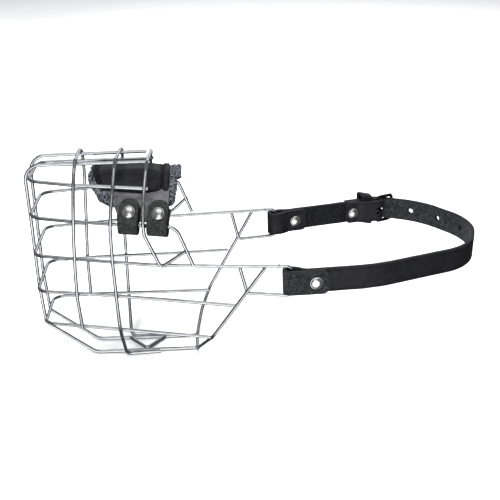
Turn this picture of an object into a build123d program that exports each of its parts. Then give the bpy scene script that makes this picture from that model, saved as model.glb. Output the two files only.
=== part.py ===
from build123d import *
import math
import os

# Basket muzzle: a welded wire basket with a padded leather bridge and a buckled neck strap.
# Millimetres.  +X runs back towards the dog's neck, +Y is the buckle side, +Z is up.
# The origin is halfway between the two upright ear bars that carry the neck strap.

# ---- driving dimensions -------------------------------------------------------------------
WIRE = 2.6                    # diameter of every basket wire
WELD = 0.25                   # how deep one wire sinks into another where they are welded
STEP = WIRE - WELD            # centre distance of two wires that cross and are welded
BASE = -80.6                  # height of the bottom wires' centres

EAR_Y = 57.0                  # each upright ear bar from the middle plane
EAR_HALF = 11.8               # half the height of an ear loop, centre to centre
EAR_START_X = -9.0            # where an ear loop takes over from the cheek ring

NOSE_X = -190.0               # front of the basket
BELLY_X = -150.4              # where the nose slope meets the level bottom
HEEL_X = -69.4                # rear ends of the bottom wires
BROW_X = -100.9               # the rear hoop, where the top runs end
TOP = 159.3                   # height of the two top runs above the bottom wires
RUN_Y = 10.2                  # the profile wires from the middle plane at nose and bottom
TOP_RUN_Y = 13.2              # the same at the rear end of the top

# Ring wires, top to bottom.  Each bends round the nose and runs back along both cheeks.
# nose: its front run behind NOSE_X; half: half width of the nose corner; corner: the bend's
# radius; lift: height of the front run above the bottom wires; cheek: (x, y, height) points.
RINGS = {
    "ring_wire_1": dict(nose=3.0, half=21.5, corner=9.0, lift=149.6, cheek=[
        (-155.9, 28.8, 148.2), (-129.5, 32.2, 147.4), (BROW_X, 36.0, 146.5)]),
    "ring_wire_2": dict(nose=2.5, half=26.8, corner=12.0, lift=123.6, cheek=[
        (-159.5, 34.2, 123.0), (-129.5, 41.6, 122.8), (-102.0, 47.4, 123.4),
        (-82.0, 52.6, 123.4), (-70.6, 53.4, 94.0)]),
    "ring_wire_3": dict(nose=2.7, half=28.0, corner=9.0, lift=94.0, cheek=[
        (-158.1, 34.6, 93.4), (-129.5, 41.4, 93.0), (-101.5, 47.0, 92.3),
        (-47.5, 53.2, 92.2), (EAR_START_X, EAR_Y - 0.6, 92.4)]),
    "ring_wire_4": dict(nose=2.2, half=27.5, corner=9.0, lift=64.4, cheek=[
        (-149.5, 33.6, 63.8), (-94.5, 41.8, 61.2), (-40.9, 51.0, 58.9)]),
    "ring_wire_5": dict(nose=4.4, half=22.0, corner=8.0, lift=34.0, cheek=[
        (-151.5, 27.8, 32.8), (-119.5, 32.1, 30.5), (-58.0, 40.3, 26.4)]),
}

# Hoops over the top, as (x, y, height) from beside the middle of the top down one side.
# The middle and rear hoops are welded on slightly askew, by HOOP_SKEW at each side.
HOOP_SKEW = 1.0
HOOP_FRONT = [(-153.2, 14.0, 161.6), (-153.2, 24.5, 157.0), (-153.6, 31.8, 147.6),
              (-154.4, 36.4, 132.0), (-155.6, 38.6, 112.0), (-156.8, 38.2, 84.0),
              (-157.6, 35.4, 62.0), (-156.6, 29.9, 33.0)]
HOOP_MIDDLE = [(-123.6, 14.0, 161.6), (-123.8, 26.0, 157.4), (-124.6, 35.2, 147.6),
               (-126.2, 42.2, 135.0), (-127.6, 45.2, 120.0), (-127.6, 44.6, 94.0),
               (-127.2, 39.8, 62.0), (-126.6, 34.0, 31.0), (-124.8, 14.2, -0.6),
               (-98.0, RUN_Y + STEP + 0.2, -0.4)]
HOOP_REAR = [(BROW_X, 13.0, TOP), (-101.4, 26.0, 156.0), (-102.6, 38.2, 146.4),
             (-103.4, 47.0, 135.0), (-104.0, 50.0, 124.0), (-103.4, 50.2, 116.6),
             (-92.8, 50.6, 91.6), (-74.8, 56.0, 106.0)]
CHIN_WIRE = [(-69.0, 12.0, 0.6), (-64.4, 29.0, 14.5), (-57.2, 42.4, 28.0),
             (-19.3, EAR_Y + 0.4, 91.6)]

# Padded bridge: bands bent over the nose.  ARCH is the cover's outer face, as (y, height).
ARCH = [(11.7, 152.1), (23.0, 138.6), (37.0, 129.0)]
ARCH_BEND = [13.0, 9.0]       # its bends at the crown's sides and where the skirts flare out
SKIRT_TOP = (25.8, 136.6)     # where a skirt leaves the cover's lower edge
SKIRT_KNEE = (-7.5, 128.0)    # where it turns down behind the tabs, as (outwards, height)
SKIRT_FOOT = (-5.3, 124.4)    # and its lower edge, both from the middle of the cheek ring
SKIRT = 1.6                   # leather thickness
COVER_X = (-139.0, -86.0)     # leather cover, front and rear edge
FELT_X = (-146.0, -78.5)      # felt lining, which stands out at both ends
SKIRT_X = (-128.0, -87.0)     # the skirts' front and rear edges
COVER = 2.2
FELT = 5.5
TABS = {"front": -115.5, "rear": -93.0}   # middle of each tab along the basket
TAB_WIDTH = 15.0
TAB = 2.4                     # leather thickness of the tabs
TAB_RIVET = 131.2             # height of the tabs' rivets above the bottom wires
TAB_BEND = (2.9, 124.5)       # where the flap starts to lean in, as (outwards, height)
TAB_END = (-9.2, 139.3)       # and its end
TAB_TURN = {"front": 12.0, "rear": 14.4}   # degrees that the cheek ring opens there

RIVET_R = 4.7                 # domed rivet heads
RIVET_DOME = 2.2
POST_R = 1.5

# Neck strap in plan.  From the left ear bar it runs back, rounds the neck and comes forward
# to the buckle on the right side, where a short strap from the right ear bar meets it.
STRAP_WIDTH = 19.0            # three-quarter inch leather
STRAP = 3.0                   # leather thickness
PLY = STRAP + 0.35            # centre distance of two layers that lie on each other
FOLD_FRONT = 4.8              # middle of the leather in front of an ear bar
FOLD_HALF = 4.1               # half the width of a fold, between the middles of its layers
CLOSED = 11.0                 # where the fold closes behind the ear bar
FOLD_RIVET = 17.5             # rivet behind the ear bar
FLAP = 28.0                   # free end of a fold's flap behind the ear bar
LEFT_HEADING = 5.0            # degrees that the left run turns inwards
LEFT_LINE = -58.4             # where that run's middle line crosses x = 0
NECK = [(63.66, -52.83), (144.5, -23.1), (162.5, 26.7), (130.9, 73.2)]   # corners round the neck
NECK_BENDS = [117.0, 46.7, 63.6, 64.3]                                  # and their radii
RIGHT_SPLAY = 15.0            # degrees that the short strap splays outwards
RIGHT_LINE = 59.5             # where its middle line crosses x = 0

# Along the short strap from the ear bar:
CHAPE_FLAP = 65.5             # end of the flap that holds the buckle
TAIL_TIP = 63.0               # end of the long strap's tail
CHAPE_RIVET = 72.5
KEEPER = (80.5, 92.3)         # keeper loop, its two edges
HEEL = 96.5                   # heel bar of the buckle
TAIL_BEND = 99.0              # where the long strap bends to lie on the short one
KEEPER_WALL = 1.8

BUCKLE_WIRE = 2.8
BUCKLE_LENGTH = 15.2          # heel bar to front bar
BUCKLE_HALF = 11.3            # half the height of the frame, centre to centre
BUCKLE_TURN = 25.0            # degrees that the frame turns outwards from straight back
TONGUE_R = 1.1
TONGUE_LIFT = 2.9             # tongue's centre above the bars' centres
TONGUE_REACH = 18.2
TONGUE_SLOT = 3.3             # half the height of the slot for the tongue in the fold
HOLE_R = 2.3
HOLES = [13.5, 67.0, 94.0, 121.0, 148.0]   # open holes, measured from the tail's end


def point(x, y, height):
    return Vector(x, y, height + BASE)


def mirrored(points):
    return [Vector(p.X, -p.Y, p.Z) for p in points]


def rounded_path(points, radii):
    """Straight runs joined by tangent arcs; radii is one number or one per inner corner."""
    points = [Vector(*p) if isinstance(p, tuple) else p for p in points]
    inner = len(points) - 2
    radii = [radii] * inner if isinstance(radii, (int, float)) else radii
    edges, start = [], points[0]
    for i in range(inner):
        corner = points[i + 1]
        back = (points[i] - corner).normalized()
        ahead = (points[i + 2] - corner).normalized()
        half = math.radians(back.get_angle(ahead)) / 2
        room = 0.46 * min((points[i] - corner).length, (points[i + 2] - corner).length)
        cut = min(radii[i] / math.tan(half), room)
        first, last = corner + back * cut, corner + ahead * cut
        radius = cut * math.tan(half)
        middle = corner + (back + ahead).normalized() * (radius / math.sin(half) - radius)
        edges += [Edge.make_line(start, first), Edge.make_three_point_arc(first, middle, last)]
        start = last
    edges.append(Edge.make_line(start, points[-1]))
    return Wire(edges)


def bent_wire(points, radii, diameter=WIRE):
    path = rounded_path(points, radii)
    section = Plane(path @ 0, z_dir=path % 0) * Circle(diameter / 2)
    return sweep(section, path)


# ---- basket -------------------------------------------------------------------------------
def profile_wire(side):
    points = [point(BROW_X - WIRE + WELD, side * TOP_RUN_Y, TOP),
              point(NOSE_X - 0.6, side * 11.5, TOP - 1.4),
              point(NOSE_X, side * RUN_Y, 112.0),
              point(NOSE_X + 0.4, side * RUN_Y, 62.0),
              point(NOSE_X + 2.6, side * 10.6, 28.6),
              point(BELLY_X, side * 10.6, -0.2),
              point(HEEL_X, side * RUN_Y, 0.0)]
    return bent_wire(points, [12.0, 60.0, 60.0, 4.0, 12.0])


def ring_wire(nose, half, corner, lift, cheek):
    side = [point(NOSE_X + nose, half, lift)] + [point(*p) for p in cheek]
    radii = [corner] + [60.0] * (len(cheek) - 1)
    if cheek[-1][2] < lift - 20:
        radii[-1] = 9.0
    return bent_wire(mirrored(side)[::-1] + side, radii[::-1] + radii)


def hoop(points, radii, skew=0.0):
    side = [point(*p) for p in points]
    lean = Vector(skew, 0, 0)
    left = [p - lean for p in mirrored(side)][::-1]
    return bent_wire(left + [p + lean for p in side], radii[::-1] + radii)


def hoop_front():
    return hoop(HOOP_FRONT, [8.0] * 2 + [40.0] * 5)


def hoop_middle():
    return hoop(HOOP_MIDDLE, [8.0] * 2 + [40.0] * 6 + [5.0], HOOP_SKEW)


def hoop_rear():
    return hoop(HOOP_REAR, [8.0] * 2 + [40.0] * 2 + [14.0, 6.0, 2.4], HOOP_SKEW)


def chin_wire():
    side = [point(*p) for p in CHIN_WIRE]
    radii = [12.0, 24.0, 14.0]
    return bent_wire(mirrored(side)[::-1] + side, radii[::-1] + radii)


def ear_loop(side):
    """The cheek ring's end: round the upright ear bar, forward again and up to the ring."""
    y = side * EAR_Y
    points = [Vector(EAR_START_X, side * (EAR_Y - 0.6), EAR_HALF), Vector(0, y, EAR_HALF),
              Vector(0, y, -EAR_HALF), Vector(-31.5, side * 50.8, -EAR_HALF),
              Vector(-37.1, side * 54.0, EAR_HALF - STEP / 2)]
    return bent_wire(points, [3.6, 3.6, 3.0])


def bottom_brace():
    points = [point(-124.0, RUN_Y - 0.9, 0.3), point(-109.9, -RUN_Y + 1.8, 0.3),
              point(-95.8, RUN_Y - 0.9, 0.3)]
    return bent_wire(points, 3.0)


# ---- shared leather and rivet shapes --------------------------------------------------------
def shifted(line, distance):
    """A plan line of straight runs and tangent arcs, moved sideways to its right."""
    edges = []
    for edge in line.edges():
        spots = []
        for t in (0, 0.5, 1):
            ahead = edge % t
            spots.append(edge @ t + Vector(ahead.Y, -ahead.X) * distance)
        if edge.geom_type == GeomType.LINE:
            edges.append(Edge.make_line(spots[0], spots[2]))
        else:
            edges.append(Edge.make_three_point_arc(*spots))
    return edges


def ribbon(line, thickness):
    """Face of a strip of even thickness; line is its middle, drawn on plane XY."""
    right, left = shifted(line, thickness / 2), shifted(line, -thickness / 2)
    caps = [Edge.make_line(right[0] @ 0, left[0] @ 0), Edge.make_line(right[-1] @ 1, left[-1] @ 1)]
    return Face(Wire(right + left + caps))


def dome(radius, height):
    """A rivet head: a slice of a sphere standing on plane XY."""
    ball = (radius ** 2 + height ** 2) / (2 * height)
    sphere = Pos(0, 0, height - ball) * Sphere(ball)
    return sphere & Pos(0, 0, height / 2) * Cylinder(radius + 1, height)


def rivet(plane, grip, back_cap=True):
    """Head on plane, post down through grip of leather, and a second head on the back."""
    body = dome(RIVET_R, RIVET_DOME) + Pos(0, 0, -grip / 2) * Cylinder(POST_R, grip)
    if back_cap:
        body += Pos(0, 0, -grip) * Rot(180, 0, 0) * dome(RIVET_R - 0.4, RIVET_DOME - 0.6)
    return plane * body


def post_hole(plane, grip):
    return plane * (Pos(0, 0, -grip / 2) * Cylinder(POST_R, grip + 2))


# ---- padded bridge ------------------------------------------------------------------------
def bridge_layer(inset, thickness, span, trim):
    """One layer of the pad, inset below the arch line, its lower ends shortened by trim."""
    side = [Vector(y, height + BASE) for y, height in ARCH]
    side[-1] = side[-1] + (side[-2] - side[-1]).normalized() * trim
    both = [Vector(-p.X, p.Y) for p in side[::-1]] + side
    line = rounded_path(both, ARCH_BEND[1:] + ARCH_BEND[:1] * 2 + ARCH_BEND[1:])
    middle = Wire(shifted(line, inset + thickness / 2))
    plane = Plane(origin=(span[0], 0, 0), x_dir=(0, 1, 0), z_dir=(1, 0, 0))
    return extrude(plane * ribbon(middle, thickness), span[1] - span[0])


def pad_skirt(side):
    """Leather from the cover's lower edge out to the cheek ring, where it backs the tabs."""
    sections = []
    for x in SKIRT_X:
        knee = (ring_2_at(x) + SKIRT_KNEE[0], SKIRT_KNEE[1])
        foot = (ring_2_at(x) + SKIRT_FOOT[0], SKIRT_FOOT[1])
        outer = [Vector(x, side * y, height + BASE) for y, height in (SKIRT_TOP, knee, foot)]
        under = [(-0.56, -0.83), (-0.75, -0.72), (-0.87, -0.49)]
        inner = [p + Vector(0, side * y, z) * SKIRT for p, (y, z) in zip(outer, under)]
        sections.append(make_face(Polyline(*outer, *inner[::-1], close=True)))
    return loft(sections, ruled=True)


def ring_2_at(x):
    """How far the second ring wire lies from the middle plane at x."""
    cheek = RINGS["ring_wire_2"]["cheek"]
    for (x0, y0, _), (x1, y1, _) in zip(cheek, cheek[1:]):
        if x0 <= x <= x1:
            return y0 + (y1 - y0) * (x - x0) / (x1 - x0)


def tab_plane(place, side):
    """Across the cheek ring where a tab hangs: X outwards, Y up, Z along the ring."""
    turn = math.radians(TAB_TURN[place])
    outwards = Vector(-math.sin(turn), side * math.cos(turn), 0)
    origin = Vector(TABS[place], side * ring_2_at(TABS[place]), BASE)
    return Plane(origin=origin, x_dir=outwards, z_dir=outwards.cross(Vector(0, 0, 1)))


def tab_line():
    """Middle of a tab: down inside the ring, round under it and up outside to its flap."""
    points = [(-8.9, 133.2), (-2.9, 124.0), (-2.9, 116.9), (2.9, 116.9), TAB_BEND, TAB_END]
    return rounded_path([Vector(*p) for p in points], [9.0, 2.8, 2.8, 9.0])


def tab_rivet_plane(place, side):
    """On the outer face of a tab's flap, looking outwards."""
    lean = (Vector(*TAB_END) - Vector(*TAB_BEND)).normalized()
    outwards = Vector(lean.Y, -lean.X)
    rise = (TAB_RIVET - TAB_BEND[1]) / lean.Y
    centre = Vector(*TAB_BEND) + lean * rise + outwards * (TAB / 2)
    plane = tab_plane(place, side)
    origin = plane.from_local_coords(centre)
    return Plane(origin=origin, z_dir=plane.from_local_coords(centre + outwards) - origin)


def pad_tab(place, side):
    plane = tab_plane(place, side)
    solid = extrude(plane * ribbon(tab_line(), TAB), TAB_WIDTH / 2, both=True)
    return solid - post_hole(tab_rivet_plane(place, side), 2 * TAB + 2)


def pad_rivet(place, side):
    return rivet(tab_rivet_plane(place, side), 2 * TAB + 1.4, back_cap=False)


# ---- neck strap ---------------------------------------------------------------------------
def left_run(distance, outwards=0.0):
    """A point along the left run of the strap, in plan; outwards is away from the neck."""
    turn = math.radians(LEFT_HEADING)
    ahead = Vector(math.cos(turn), math.sin(turn))
    return Vector(0, LEFT_LINE) + ahead * distance + Vector(ahead.Y, -ahead.X) * outwards


def right_run(distance, outwards=0.0):
    """A point along the short strap, in plan."""
    turn = math.radians(RIGHT_SPLAY)
    ahead = Vector(math.cos(turn), math.sin(turn))
    return Vector(0, RIGHT_LINE) + ahead * distance + Vector(-ahead.Y, ahead.X) * outwards


def heel_bar():
    return right_run(HEEL, -PLY)


def buckle_ahead():
    turn = math.radians(BUCKLE_TURN)
    return Vector(math.cos(turn), math.sin(turn))


def front_bar():
    return heel_bar() + buckle_ahead() * BUCKLE_LENGTH


def long_strap_line():
    """Middle of the long strap in plan, from its flap at the left ear to its tail."""
    fold_in, fold_out = -EAR_Y + FOLD_HALF, -EAR_Y - FOLD_HALF
    fold = [left_run(FLAP, PLY), left_run(CLOSED, PLY), (-FOLD_FRONT, fold_out),
            (-FOLD_FRONT, fold_in), (3.0, fold_in), left_run(CLOSED)]
    tail = [right_run(TAIL_BEND, PLY), right_run(TAIL_TIP, PLY)]
    return rounded_path(fold + NECK + tail, [20.0, 4.0, 4.0, 7.0, 7.0] + NECK_BENDS + [12.0])


def short_strap_line():
    """Middle of the short strap in plan, from its flap at the right ear to the buckle's."""
    bar_s = (EAR_Y - RIGHT_LINE) * math.sin(math.radians(RIGHT_SPLAY))
    bar_n = (EAR_Y - RIGHT_LINE) * math.cos(math.radians(RIGHT_SPLAY))
    front = bar_s - FOLD_FRONT
    return rounded_path([
        right_run(FLAP, -PLY), right_run(CLOSED, -PLY), right_run(4.0, bar_n - FOLD_HALF),
        right_run(front, bar_n - FOLD_HALF), right_run(front, bar_n + FOLD_HALF),
        right_run(4.0, bar_n + FOLD_HALF), right_run(CLOSED, 0), right_run(HEEL + PLY, 0),
        right_run(HEEL + PLY, -2 * PLY), right_run(HEEL - 3.0, -2 * PLY),
        right_run(KEEPER[0] + 0.3, -5.2), right_run(KEEPER[0] - 3.1, -PLY),
        right_run(CHAPE_FLAP, -PLY)],
        [7.0, 7.0, 4.0, 4.0, 7.0, 7.0, PLY - 0.05, PLY - 0.05, 12.0, 4.0, 4.0])


def upright_strap(line):
    return extrude(Pos(0, 0, -STRAP_WIDTH / 2) * ribbon(line, STRAP), STRAP_WIDTH)


def facing(place, outwards):
    """A plane at a place in plan, at the strap's mid height, looking outwards."""
    return Plane(origin=(place.X, place.Y, 0), x_dir=(0, 0, 1), z_dir=(outwards.X, outwards.Y, 0))


def left_rivet_plane():
    outer = left_run(FOLD_RIVET, PLY + STRAP / 2)
    return facing(outer, outer - left_run(FOLD_RIVET))


def right_rivet_plane(distance):
    inner = right_run(distance, -PLY - STRAP / 2)
    return facing(inner, inner - right_run(distance))


def tongue_clearance():
    """The room that the tongue needs through the strap, closed and lifted."""
    ahead = buckle_ahead()
    up = Vector(-ahead.Y, ahead.X)
    start = heel_bar() + up * (TONGUE_LIFT - TONGUE_R - 0.4)
    tip = start + ahead * (TONGUE_REACH + 1.0)
    corners = [start, tip - up * 2.0, tip + up * 7.6, start + up * 3.6]
    outline = Wire([Edge.make_line(a, b) for a, b in zip(corners, corners[1:] + corners[:1])])
    return extrude(Pos(0, 0, -HOLE_R) * Face(outline), 2 * HOLE_R)


def strap_hole(line, from_tail):
    along = line.length - from_tail
    place = line.position_at(along, position_mode=PositionMode.LENGTH)
    ahead = line.tangent_at(along, position_mode=PositionMode.LENGTH)
    return facing(place, Vector(-ahead.Y, ahead.X)) * Cylinder(HOLE_R, 3 * STRAP)


def long_strap():
    line = long_strap_line()
    strap = upright_strap(line) - post_hole(left_rivet_plane(), 2 * PLY) - tongue_clearance()
    for from_tail in HOLES:
        strap -= strap_hole(line, from_tail)
    return strap


def short_strap():
    strap = upright_strap(short_strap_line())
    for distance in (FOLD_RIVET, CHAPE_RIVET):
        strap -= post_hole(right_rivet_plane(distance), 2 * PLY)
    slot = Box(20, 16, 2 * TONGUE_SLOT)
    end = right_run(HEEL + 4.6, -PLY)
    return strap - Pos(end.X, end.Y, 0) * Rot(0, 0, RIGHT_SPLAY) * slot


def left_strap_rivet():
    return rivet(left_rivet_plane(), 2 * STRAP + 0.35)


def right_strap_rivet():
    return rivet(right_rivet_plane(FOLD_RIVET), 2 * STRAP + 0.35)


def chape_rivet():
    return rivet(right_rivet_plane(CHAPE_RIVET), 2 * STRAP + 0.35, back_cap=False)


def keeper_loop():
    """A band over the tail, its inner side between the short strap's layers."""
    inner = -STRAP / 2 - 0.1 - KEEPER_WALL
    outer = PLY + STRAP / 2 + 0.1 + KEEPER_WALL
    depth, height = outer - inner, STRAP_WIDTH + 0.2 + 2 * KEEPER_WALL
    start = right_run(KEEPER[0], (inner + outer) / 2)
    along = right_run(KEEPER[1]) - right_run(KEEPER[0])
    across = right_run(0, 1) - right_run(0)
    plane = Plane(origin=start, x_dir=across, z_dir=along)
    band = RectangleRounded(depth, height, 2.4)
    band -= RectangleRounded(depth - 2 * KEEPER_WALL, height - 2 * KEEPER_WALL, 0.6)
    return extrude(plane * band, along.length)


# ---- buckle -------------------------------------------------------------------------------
def buckle_frame():
    heel, front = heel_bar(), front_bar()
    corners = [Vector(heel.X, heel.Y, -BUCKLE_HALF), Vector(front.X, front.Y, -BUCKLE_HALF),
               Vector(front.X, front.Y, BUCKLE_HALF), Vector(heel.X, heel.Y, BUCKLE_HALF)]
    middle = Vector(heel.X, heel.Y, 0)
    path = rounded_path([middle] + corners + [middle], 2.6)
    section = Plane(path @ 0, z_dir=path % 0) * Circle(BUCKLE_WIRE / 2)
    return sweep(section, path)


def buckle_tongue():
    """A wire prong, its eye bent round the heel bar."""
    heel, ahead = heel_bar(), buckle_ahead()
    top = heel + Vector(-ahead.Y, ahead.X) * TONGUE_LIFT
    tip = top + ahead * TONGUE_REACH
    eye = JernArc(top, -ahead, TONGUE_LIFT, 325)
    path = Wire([Edge.make_line(tip, top), eye.edge()])
    return sweep(Plane(tip, z_dir=-ahead) * Circle(TONGUE_R), path)


# ---- assembly -----------------------------------------------------------------------------
def all_parts():
    parts = {}
    for name, side in (("left", -1), ("right", 1)):
        parts[f"profile_wire_{name}"] = profile_wire(side)
        parts[f"ear_loop_{name}"] = ear_loop(side)
        parts[f"pad_skirt_{name}"] = pad_skirt(side)
        for place in TABS:
            parts[f"pad_tab_{place}_{name}"] = pad_tab(place, side)
            parts[f"pad_rivet_{place}_{name}"] = pad_rivet(place, side)
    for name, ring in RINGS.items():
        parts[name] = ring_wire(**ring)
    parts["hoop_front"] = hoop_front()
    parts["hoop_middle"] = hoop_middle()
    parts["hoop_rear"] = hoop_rear()
    parts["chin_wire"] = chin_wire()
    parts["bottom_brace"] = bottom_brace()
    parts["pad_cover"] = bridge_layer(0, COVER, COVER_X, 13.6)
    parts["pad_felt"] = bridge_layer(COVER, FELT, FELT_X, 0.6)
    parts["long_strap"] = long_strap()
    parts["short_strap"] = short_strap()
    parts["strap_rivet_left"] = left_strap_rivet()
    parts["strap_rivet_right"] = right_strap_rivet()
    parts["chape_rivet"] = chape_rivet()
    parts["keeper_loop"] = keeper_loop()
    parts["buckle_frame"] = buckle_frame()
    parts["buckle_tongue"] = buckle_tongue()
    return parts


if __name__ == "__main__":
    os.makedirs("parts", exist_ok=True)
    for name, solid in all_parts().items():
        solid.label = name
        export_step(solid, f"parts/{name}.step")
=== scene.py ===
import math

import bmesh
import bpy
import numpy as np
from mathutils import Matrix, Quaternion, Vector, noise
from mathutils.kdtree import KDTree


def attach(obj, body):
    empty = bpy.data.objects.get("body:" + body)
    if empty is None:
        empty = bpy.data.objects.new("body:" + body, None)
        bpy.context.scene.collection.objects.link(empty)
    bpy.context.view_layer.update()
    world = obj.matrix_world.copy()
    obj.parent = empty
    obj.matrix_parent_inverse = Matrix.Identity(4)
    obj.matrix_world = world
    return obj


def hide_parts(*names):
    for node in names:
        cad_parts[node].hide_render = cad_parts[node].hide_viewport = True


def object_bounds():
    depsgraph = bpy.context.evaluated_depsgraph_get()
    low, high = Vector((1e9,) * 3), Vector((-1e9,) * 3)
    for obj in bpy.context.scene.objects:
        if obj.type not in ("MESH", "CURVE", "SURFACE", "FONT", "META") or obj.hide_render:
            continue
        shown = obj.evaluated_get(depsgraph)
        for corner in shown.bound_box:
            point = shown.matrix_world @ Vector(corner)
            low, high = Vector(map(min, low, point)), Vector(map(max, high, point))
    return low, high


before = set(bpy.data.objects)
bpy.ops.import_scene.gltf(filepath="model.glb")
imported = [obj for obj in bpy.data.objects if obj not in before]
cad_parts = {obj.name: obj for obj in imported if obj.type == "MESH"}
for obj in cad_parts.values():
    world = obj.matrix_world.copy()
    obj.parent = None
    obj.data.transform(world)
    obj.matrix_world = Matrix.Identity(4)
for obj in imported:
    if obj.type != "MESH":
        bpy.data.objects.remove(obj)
cad_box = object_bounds()
MM = 0.001
BASE = -80.6                      # height of the bottom wires' centres; heights in the pad are above it


def smooth_step(t):
    t = np.clip(t, 0.0, 1.0)
    return t * t * (3 - 2 * t)


# ---- materials ----------------------------------------------------------------------------
class Nodes:
    """A material under construction: short calls for the nodes it needs."""

    def __init__(self, name):
        self.material = bpy.data.materials.new(name)
        self.material.use_nodes = True
        self.tree = self.material.node_tree
        self.shader = self.tree.nodes["Principled BSDF"]
        self.place = self.add("ShaderNodeTexCoord").outputs["Object"]

    def add(self, kind, **inputs):
        node = self.tree.nodes.new(kind)
        for key, value in inputs.items():
            socket = node.inputs[key.replace("_", " ")]
            if hasattr(value, "links"):
                self.tree.links.new(value, socket)
            else:
                socket.default_value = value
        return node

    def noise(self, scale, detail=3.0, rough=0.55, distort=0.0):
        node = self.add("ShaderNodeTexNoise", Scale=scale, Detail=detail, Roughness=rough,
                        Distortion=distort, Vector=self.place)
        return node.outputs["Fac"]

    def cells(self, scale, feature="F1"):
        node = self.add("ShaderNodeTexVoronoi", Scale=scale, Randomness=1.0, Vector=self.place)
        node.feature = feature
        return node.outputs["Distance"]

    def ramp(self, value, stops):
        node = self.add("ShaderNodeValToRGB", Fac=value)
        ramp = node.color_ramp
        while len(ramp.elements) < len(stops):
            ramp.elements.new(0.5)
        for element, (at, colour) in zip(ramp.elements, stops):
            element.position = at
            element.color = (*colour, 1.0) if len(colour) == 3 else (colour[0],) * 3 + (1.0,)
        return node.outputs["Color"]

    def span(self, value, low, high):
        node = self.add("ShaderNodeMapRange", Value=value)
        node.inputs["To Min"].default_value = low
        node.inputs["To Max"].default_value = high
        return node.outputs["Result"]

    def sum(self, a, b, share=1.0):
        node = self.add("ShaderNodeMath")
        node.operation = "MULTIPLY_ADD"
        self.tree.links.new(b, node.inputs[0])
        node.inputs[1].default_value = share
        self.tree.links.new(a, node.inputs[2])
        return node.outputs[0]

    def bump(self, height, distance, strength=1.0):
        node = self.add("ShaderNodeBump", Strength=strength, Distance=distance, Height=height)
        self.tree.links.new(node.outputs["Normal"], self.shader.inputs["Normal"])

    def set(self, **values):
        for key, value in values.items():
            socket = self.shader.inputs[key.replace("_", " ")]
            if hasattr(value, "links"):
                self.tree.links.new(value, socket)
            else:
                socket.default_value = value
        return self


def chrome_wire():
    m = Nodes("chrome_wire")
    m.set(Metallic=1.0,
          Base_Color=m.ramp(m.noise(140, 4), [(0.3, (0.56, 0.57, 0.59)), (0.7, (0.74, 0.745, 0.755))]),
          Roughness=m.span(m.noise(420, 3), 0.07, 0.17))
    m.bump(m.sum(m.noise(900, 2), m.noise(90, 2), 1.5), 0.00008, 0.5)
    return m.material


def polished(name, low, high, rough):
    m = Nodes(name)
    m.set(Metallic=1.0, Base_Color=m.ramp(m.noise(500, 4), [(0.35, low), (0.65, high)]),
          Roughness=m.span(m.noise(1400, 4), rough, rough + 0.10))
    m.bump(m.noise(2600, 3), 0.00003, 0.4)
    return m.material


def grain_leather():
    m = Nodes("grain_leather")
    pebble = m.cells(1500, "SMOOTH_F1")
    folds = m.noise(260, 5, 0.6, 0.4)
    m.set(Base_Color=m.ramp(m.noise(180, 4), [(0.3, (0.0055, 0.0055, 0.0065)),
                                              (0.75, (0.013, 0.013, 0.015))]),
          Roughness=m.span(m.noise(700, 4), 0.40, 0.58), Specular_IOR_Level=0.22)
    m.bump(m.sum(folds, pebble, 0.45), 0.00022, 0.55)
    return m.material


def flesh_leather(name, dark, light, fleck):
    """The rough side: short matted fibres with paler flecks."""
    m = Nodes(name)
    fibres = m.noise(1500, 6, 0.72)
    flecks = m.noise(1250, 3, 0.6)
    colour = m.add("ShaderNodeMix")
    colour.data_type = "RGBA"
    m.tree.links.new(m.ramp(flecks, [(0.55, (0.0,)), (0.68, (1.0,))]), colour.inputs["Factor"])
    m.tree.links.new(m.ramp(m.sum(m.noise(240, 3), fibres, 0.5), [(0.55, dark), (0.95, light)]),
                     colour.inputs[6])
    colour.inputs[7].default_value = (*fleck, 1.0)
    m.set(Base_Color=colour.outputs[2], Roughness=m.span(m.noise(900, 3), 0.82, 1.0),
          Specular_IOR_Level=0.12, Sheen_Weight=0.05, Sheen_Roughness=0.5)
    m.bump(m.sum(fibres, m.noise(500, 4), 0.8), 0.0005, 0.7)
    return m.material


def cut_edge():
    m = Nodes("cut_edge")
    layers = m.noise(900, 5, 0.65)
    m.set(Base_Color=m.ramp(layers, [(0.3, (0.005, 0.005, 0.006)), (0.7, (0.019, 0.019, 0.020))]),
          Roughness=m.span(m.noise(1200, 3), 0.45, 0.7), Specular_IOR_Level=0.3)
    m.bump(layers, 0.00025, 0.6)
    return m.material


def fleece():
    m = Nodes("fleece")
    curls = m.cells(620, "F1")
    fine = m.noise(2400, 5, 0.7)
    m.set(Base_Color=m.ramp(m.sum(curls, fine, 0.5), [(0.25, (0.003, 0.003, 0.004)),
                                                     (0.60, (0.014, 0.0145, 0.018)),
                                                     (0.95, (0.105, 0.11, 0.125))]),
          Roughness=m.span(fine, 0.88, 1.0), Specular_IOR_Level=0.1, Sheen_Weight=0.08,
          Sheen_Roughness=0.5, Sheen_Tint=(0.6, 0.62, 0.7, 1.0))
    m.bump(m.sum(curls, fine, 0.6), 0.0009, 0.9)
    return m.material


def thread():
    m = Nodes("thread")
    twist = m.add("ShaderNodeTexWave", Scale=900.0, Distortion=1.5, Vector=m.place).outputs["Fac"]
    m.set(Base_Color=m.ramp(twist, [(0.2, (0.004, 0.004, 0.005)), (0.8, (0.020, 0.020, 0.022))]),
          Roughness=m.span(m.noise(900, 2), 0.55, 0.75))
    m.bump(twist, 0.0002, 0.7)
    return m.material


def studio_floor():
    m = Nodes("studio_floor")
    m.set(Base_Color=m.ramp(m.noise(6, 2), [(0.3, (0.86, 0.86, 0.865)), (0.7, (0.89, 0.89, 0.89))]),
          Roughness=m.span(m.noise(40, 2), 0.75, 0.85), Specular_IOR_Level=0.2)
    return m.material


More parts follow.
